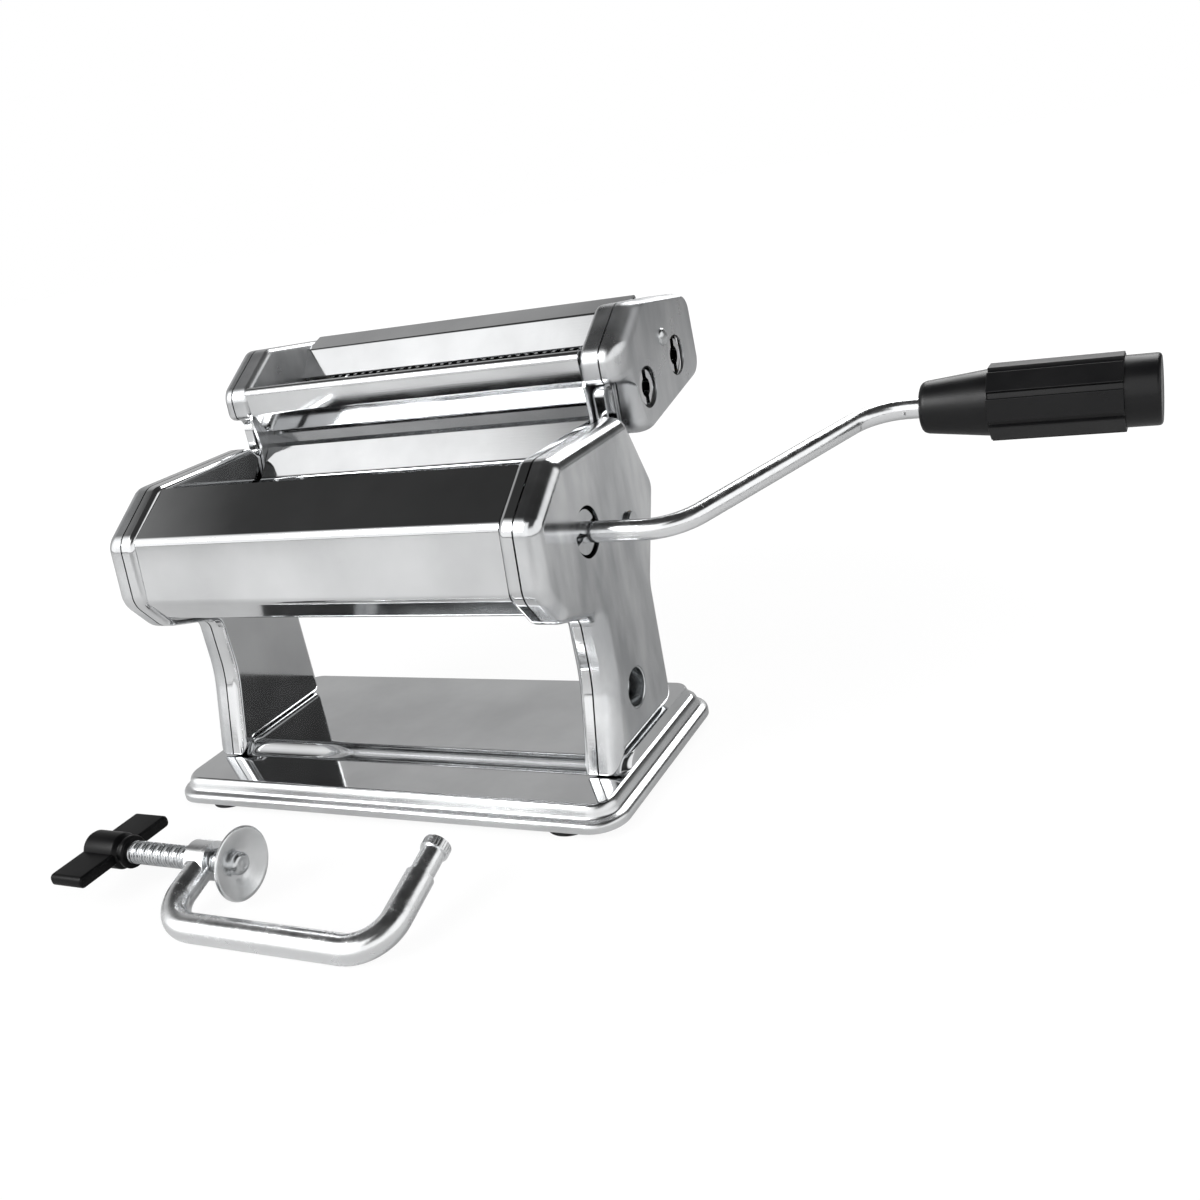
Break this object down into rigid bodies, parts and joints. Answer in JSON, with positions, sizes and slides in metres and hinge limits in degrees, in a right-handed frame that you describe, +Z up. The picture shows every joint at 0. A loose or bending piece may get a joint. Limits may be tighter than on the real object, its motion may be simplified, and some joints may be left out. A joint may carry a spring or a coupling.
{
  "type": "pasta machine",
  "caption": "Hand cranked pasta sheet roller on a stamped base, with a lift-off cutter unit, a bent crank with a turning grip and a table clamp lying in front.",
  "frame": {"origin": "on the table under the middle of the base plate", "axes": "+X along the rollers towards the crank, -Y to the front where the dough sheet comes out, +Z up"},
  "size_m": [0.3687, 0.2266, 0.1586],
  "materials": {
    "polished_steel": "polished",
    "zinc_steel": "satin",
    "black_plastic": "satin",
    "foot_rubber": "matt",
    "bush_brass": "machined"
  },
  "bodies": {
    "frame": {"base_plate": "polished_steel", "base_feet": "foot_rubber", "base_screws": "zinc_steel", "base_nuts": "zinc_steel", "left_side_plate": "polished_steel", "right_side_plate": "polished_steel", "left_cover": "polished_steel", "right_cover": "polished_steel", "cover_posts": "zinc_steel", "clamp_socket": "zinc_steel", "tie_rods": "zinc_steel", "tie_rod_nuts": "zinc_steel", "front_panel": "polished_steel", "rear_panel": "polished_steel", "front_scraper": "zinc_steel", "rear_scraper": "zinc_steel", "roller_bushes": "bush_brass", "axle_bushes": "bush_brass", "index_plate": "zinc_steel"},
    "drive_roller": {"front_roller": "polished_steel", "front_roller_plug": "zinc_steel", "drive_shaft": "zinc_steel", "front_gear": "zinc_steel"},
    "crank": {"crank_rod": "polished_steel", "crank_pin": "zinc_steel", "grip_washer": "zinc_steel"},
    "grip": {"grip_body": "black_plastic", "grip_cap": "black_plastic"},
    "thickness_axle": {"eccentric_axle": "zinc_steel", "knob_spring": "zinc_steel"},
    "knob": {"thickness_knob": "black_plastic", "knob_cap": "black_plastic", "index_pin": "zinc_steel"},
    "roller_sleeve": {"floating_bushes": "bush_brass"},
    "pressing_roller": {"rear_roller": "polished_steel", "rear_roller_plugs": "zinc_steel", "rear_gear": "zinc_steel"},
    "cutter": {"cutter_left_plate": "polished_steel", "cutter_right_plate": "polished_steel", "cutter_left_cover": "polished_steel", "cutter_right_cover": "polished_steel", "cutter_rivets": "zinc_steel", "cutter_ties": "zinc_steel", "cutter_front_guard": "polished_steel", "cutter_divider": "polished_steel", "cutter_rear_guard": "polished_steel", "cutter_bushes": "bush_brass", "cutter_combs": "zinc_steel"},
    "wide_drive": {"wide_drive_roller": "polished_steel", "wide_drive_gear": "bush_brass"},
    "wide_mate": {"wide_mate_roller": "polished_steel", "wide_mate_gear": "bush_brass"},
    "narrow_drive": {"narrow_drive_roller": "polished_steel", "narrow_drive_gear": "bush_brass"},
    "narrow_mate": {"narrow_mate_roller": "polished_steel", "narrow_mate_gear": "bush_brass"},
    "clamp": {"clamp_rod": "polished_steel"},
    "pad": {"pressure_pad": "zinc_steel"},
    "screw": {"clamp_screw": "zinc_steel", "wing_handle": "black_plastic"}
  },
  "joints": [
    {"name": "roller_turn", "type": "hinge", "parent": "frame", "child": "drive_roller", "pos_m": [0, -0.0164, 0.0962], "axis": [1, 0, 0], "continuous": true},
    {"name": "crank_pull", "type": "slide", "parent": "drive_roller", "child": "crank", "axis": [1, 0, 0], "range_m": [0, 0.028]},
    {"name": "grip_turn", "type": "hinge", "parent": "crank", "child": "grip", "pos_m": [0.22, 0.06248, 0.10954], "axis": [1, 0, 0], "continuous": true},
    {"name": "thickness_turn", "type": "hinge", "parent": "frame", "child": "thickness_axle", "pos_m": [0, 0.0149, 0.0891], "axis": [1, 0, 0], "range_deg": [0, 150]},
    {"name": "knob_pull", "type": "slide", "parent": "thickness_axle", "child": "knob", "axis": [-1, 0, 0], "range_m": [0, 0.004], "stiffness_N_per_m": 400, "springref_m": -0.004, "deforming": ["knob_spring"]},
    {"name": "sleeve_level", "type": "hinge", "parent": "thickness_axle", "child": "roller_sleeve", "pos_m": [0, 0.01625, 0.08915], "axis": [1, 0, 0], "range_deg": [-151, 1]},
    {"name": "pressing_turn", "type": "hinge", "parent": "roller_sleeve", "child": "pressing_roller", "pos_m": [0, 0.01625, 0.08915], "axis": [1, 0, 0], "continuous": true},
    {"name": "cutter_lift", "type": "slide", "parent": "frame", "child": "cutter", "axis": [0, 0, 1], "range_m": [0, 0.04]},
    {"name": "wide_turn", "type": "hinge", "parent": "cutter", "child": "wide_drive", "pos_m": [0, 0.0487, 0.1283], "axis": [1, 0, 0], "continuous": true},
    {"name": "wide_mate_turn", "type": "hinge", "parent": "cutter", "child": "wide_mate", "pos_m": [0, 0.06092, 0.13275], "axis": [1, 0, 0], "continuous": true},
    {"name": "narrow_turn", "type": "hinge", "parent": "cutter", "child": "narrow_drive", "pos_m": [0, 0.07824, 0.13351], "axis": [1, 0, 0], "continuous": true},
    {"name": "narrow_mate_turn", "type": "hinge", "parent": "cutter", "child": "narrow_mate", "pos_m": [0, 0.08961, 0.13981], "axis": [1, 0, 0], "continuous": true},
    {"name": "clamp_slide", "type": "slide", "parent": "frame", "child": "clamp", "axis": [0, -1, 0], "range_m": [0, 0.05]},
    {"name": "pad_travel", "type": "slide", "parent": "clamp", "child": "pad", "axis": [1, 0, 0], "range_m": [0, 0.027]},
    {"name": "screw_turn", "type": "hinge", "parent": "pad", "child": "screw", "pos_m": [-0.04, -0.0964, 0.0126], "axis": [1, 0, 0], "range_deg": [0, 7780]}
  ],
  "couplings": [
    {"joint": "pressing_turn", "follows": "roller_turn", "ratio": -1},
    {"joint": "sleeve_level", "follows": "thickness_turn", "ratio": -1},
    {"joint": "wide_mate_turn", "follows": "wide_turn", "ratio": -1},
    {"joint": "narrow_mate_turn", "follows": "narrow_turn", "ratio": -1},
    {"joint": "screw_turn", "follows": "pad_travel", "rad_per_m": 5026.5}
  ]
}
